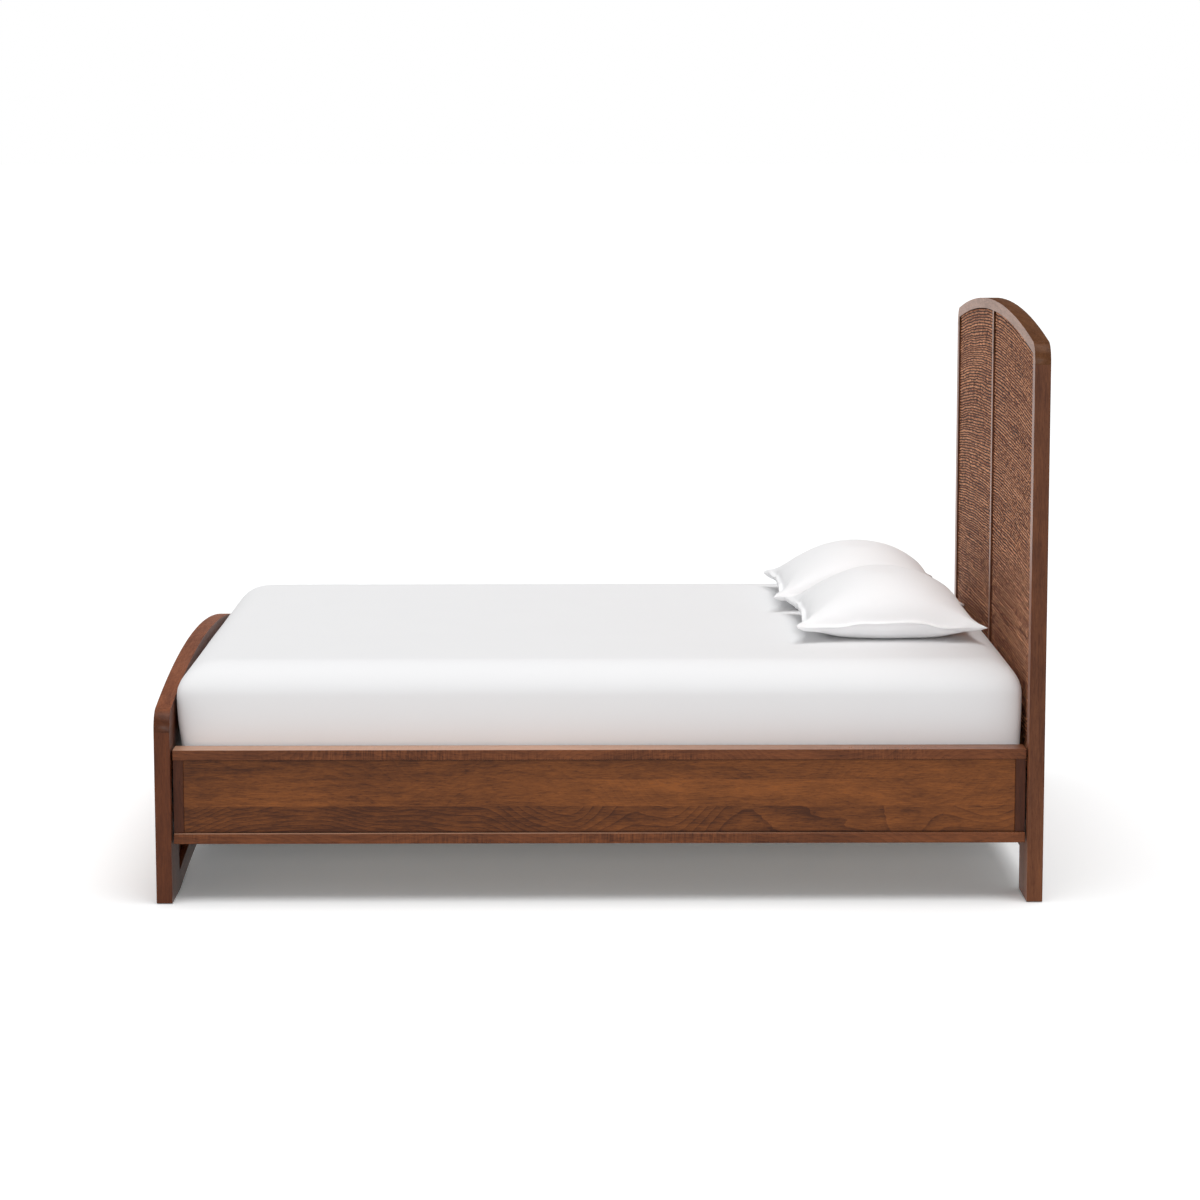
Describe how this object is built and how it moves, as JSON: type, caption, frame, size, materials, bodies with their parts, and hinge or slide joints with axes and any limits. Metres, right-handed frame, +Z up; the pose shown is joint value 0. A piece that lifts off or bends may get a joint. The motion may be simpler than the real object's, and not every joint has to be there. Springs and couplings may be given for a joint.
{
  "type": "panel bed",
  "caption": "Low wooden bed with arched frame headboard and footboard, woven inset panels, boxed side rails, slats, centre support, mattress and pillows.",
  "frame": {"origin": "on the floor, under the middle of the bed's outline", "axes": "+X towards the headboard, +Y towards the bed's left side for someone who stands at its foot and faces the headboard, +Z up"},
  "size_m": [2.133, 1.692, 1.4068],
  "materials": {
    "frame_wood": "satin walnut-brown stain",
    "panel_wood": "satin walnut-brown stain, boards edge-glued",
    "woven_mat": "woven natural fibre, brown, lightly lacquered",
    "slat_wood": "bare planed softwood",
    "painted_steel": "black powder coat",
    "zinc_steel": "zinc plated",
    "nylon": "matt",
    "mattress_cotton": "white cotton fitted sheet",
    "pillow_cotton": "white cotton pillowcase"
  },
  "bodies": {
    "frame": {"headboard_post_left": "frame_wood", "headboard_post_right": "frame_wood", "headboard_top_rail": "frame_wood", "headboard_bottom_rail": "frame_wood", "headboard_centre_stile": "frame_wood", "footboard_post_left": "frame_wood", "footboard_post_right": "frame_wood", "footboard_top_rail": "frame_wood", "footboard_bottom_rail": "frame_wood", "footboard_centre_stile": "frame_wood", "rail_cap_left": "frame_wood", "rail_base_left": "frame_wood", "rail_stile_head_left": "frame_wood", "rail_stile_foot_left": "frame_wood", "rail_cap_right": "frame_wood", "rail_base_right": "frame_wood", "rail_stile_head_right": "frame_wood", "rail_stile_foot_right": "frame_wood", "rail_panel_left": "panel_wood", "rail_panel_right": "panel_wood", "headboard_backing_left": "panel_wood", "headboard_backing_right": "panel_wood", "footboard_backing_left": "panel_wood", "footboard_backing_right": "panel_wood", "headboard_woven_left": "woven_mat", "headboard_woven_right": "woven_mat", "footboard_woven_left": "woven_mat", "footboard_woven_right": "woven_mat", "cleat_left": "slat_wood", "cleat_right": "slat_wood", "centre_beam": "slat_wood", "slat_1": "slat_wood", "slat_2": "slat_wood", "slat_3": "slat_wood", "slat_4": "slat_wood", "slat_5": "slat_wood", "slat_6": "slat_wood", "slat_7": "slat_wood", "slat_8": "slat_wood", "slat_9": "slat_wood", "slat_10": "slat_wood", "slat_11": "slat_wood", "slat_12": "slat_wood", "centre_leg_1": "slat_wood", "centre_leg_2": "slat_wood", "centre_leg_3": "slat_wood", "beam_saddles": "painted_steel", "rail_hook_plates": "zinc_steel", "post_catch_plates": "zinc_steel", "post_glides": "nylon"},
    "mattress": {"mattress": "mattress_cotton"},
    "pillow_left": {"pillow_left": "pillow_cotton"},
    "pillow_right": {"pillow_right": "pillow_cotton"},
    "leveller_1": {"leveller_1": "zinc_steel"},
    "leveller_2": {"leveller_2": "zinc_steel"},
    "leveller_3": {"leveller_3": "zinc_steel"}
  },
  "joints": [
    {"name": "mattress_lift", "type": "slide", "parent": "frame", "child": "mattress", "axis": [0, 0, 1], "range_m": [0, 0.4]},
    {"name": "pillow_left_lift", "type": "slide", "parent": "mattress", "child": "pillow_left", "axis": [0, 0, 1], "range_m": [0, 0.3]},
    {"name": "pillow_right_lift", "type": "slide", "parent": "mattress", "child": "pillow_right", "axis": [0, 0, 1], "range_m": [0, 0.3]},
    {"name": "leveller_1_screw", "type": "slide", "parent": "frame", "child": "leveller_1", "axis": [0, 0, 1], "range_m": [-0.01, 0.016]},
    {"name": "leveller_2_screw", "type": "slide", "parent": "frame", "child": "leveller_2", "axis": [0, 0, 1], "range_m": [-0.01, 0.016]},
    {"name": "leveller_3_screw", "type": "slide", "parent": "frame", "child": "leveller_3", "axis": [0, 0, 1], "range_m": [-0.01, 0.016]}
  ]
}
